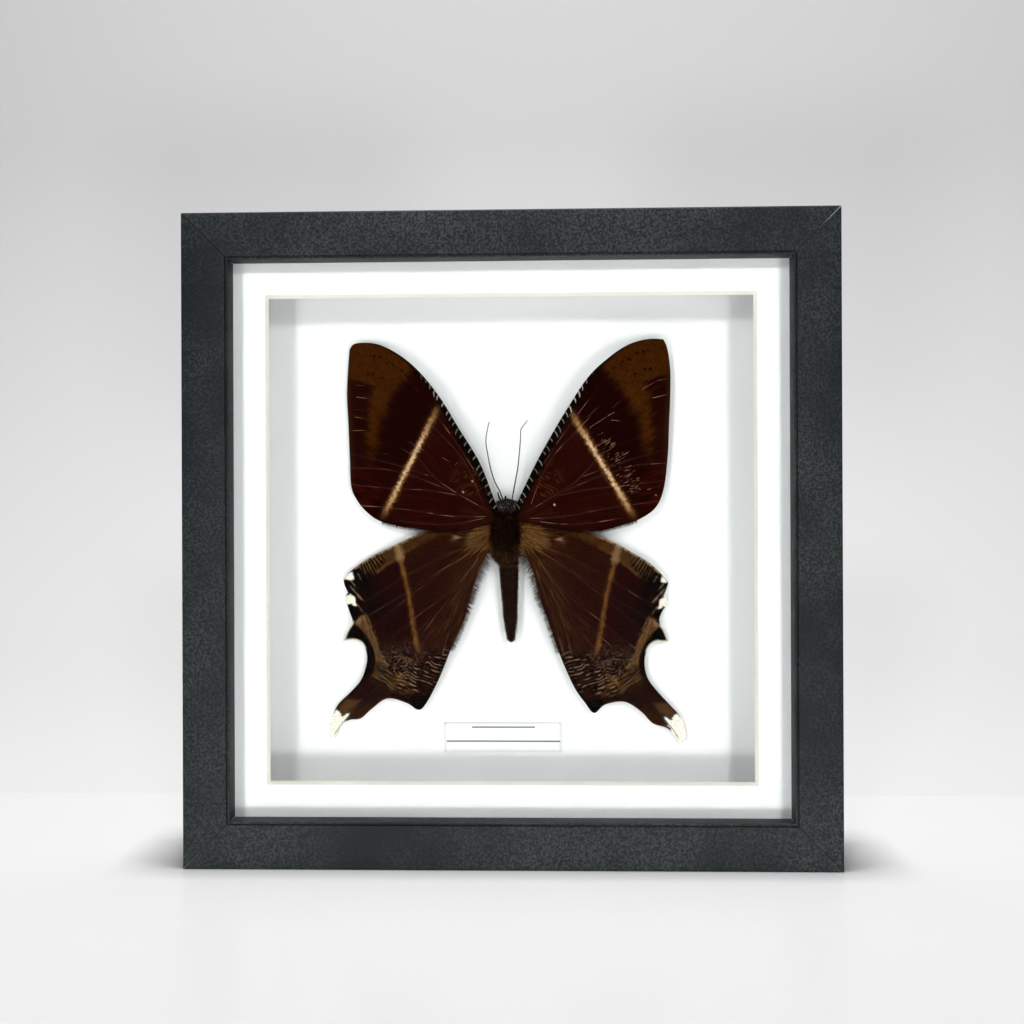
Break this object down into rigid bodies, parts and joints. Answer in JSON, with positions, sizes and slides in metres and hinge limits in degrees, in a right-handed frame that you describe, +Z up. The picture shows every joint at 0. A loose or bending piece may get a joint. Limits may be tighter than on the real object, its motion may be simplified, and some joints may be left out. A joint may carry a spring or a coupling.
{
  "type": "framed moth specimen",
  "caption": "Square black box frame with glass and a white bevelled mount, holding a spread dark brown swallow-tailed moth above a blank label on a white board; it stands or hangs.",
  "frame": {"origin": "middle of the bottom rail's underside, where the frame stands", "axes": "+Z up, +X to the viewer's right, the glazed front faces -Y"},
  "size_m": [0.228, 0.038, 0.228],
  "materials": {
    "frame_wrap": "charcoal black wrap with a fine leathery grain over a wood core, satin",
    "clear_glass": "clear, polished",
    "mount_card": "matt white card with a cream core at the bevel",
    "foam_strip": "matt white",
    "board_white": "matt white",
    "label_paper": "matt white paper with two plain ruled lines",
    "hardboard": "brown pressed fibre, smooth side out",
    "point_steel": "blued grey, slightly worn",
    "hanger_brass": "brass plated, satin",
    "body_fur": "dark brown fur",
    "wing_scales": "dark maroon brown scales with tawny bands and white tail tips",
    "antenna_horn": "black horn",
    "glue": "dried clear glue"
  },
  "bodies": {
    "root": {"frame_top": "frame_wrap", "frame_bottom": "frame_wrap", "frame_left": "frame_wrap", "frame_right": "frame_wrap", "glass": "clear_glass", "mount_board": "mount_card", "spacer_top": "foam_strip", "spacer_bottom": "foam_strip", "spacer_left": "foam_strip", "spacer_right": "foam_strip", "specimen_board": "board_white", "label_slip": "label_paper", "back_panel": "hardboard", "point_top_1": "point_steel", "point_top_2": "point_steel", "point_bottom_1": "point_steel", "point_bottom_2": "point_steel", "point_left_1": "point_steel", "point_left_2": "point_steel", "point_right_1": "point_steel", "point_right_2": "point_steel", "hanger": "hanger_brass", "rivet_left": "hanger_brass", "rivet_right": "hanger_brass", "moth_body": "body_fur", "forewing_left": "wing_scales", "forewing_right": "wing_scales", "hindwing_left": "wing_scales", "hindwing_right": "wing_scales", "antenna_left": "antenna_horn", "antenna_right": "antenna_horn", "glue_dab": "glue"}
  },
  "joints": []
}
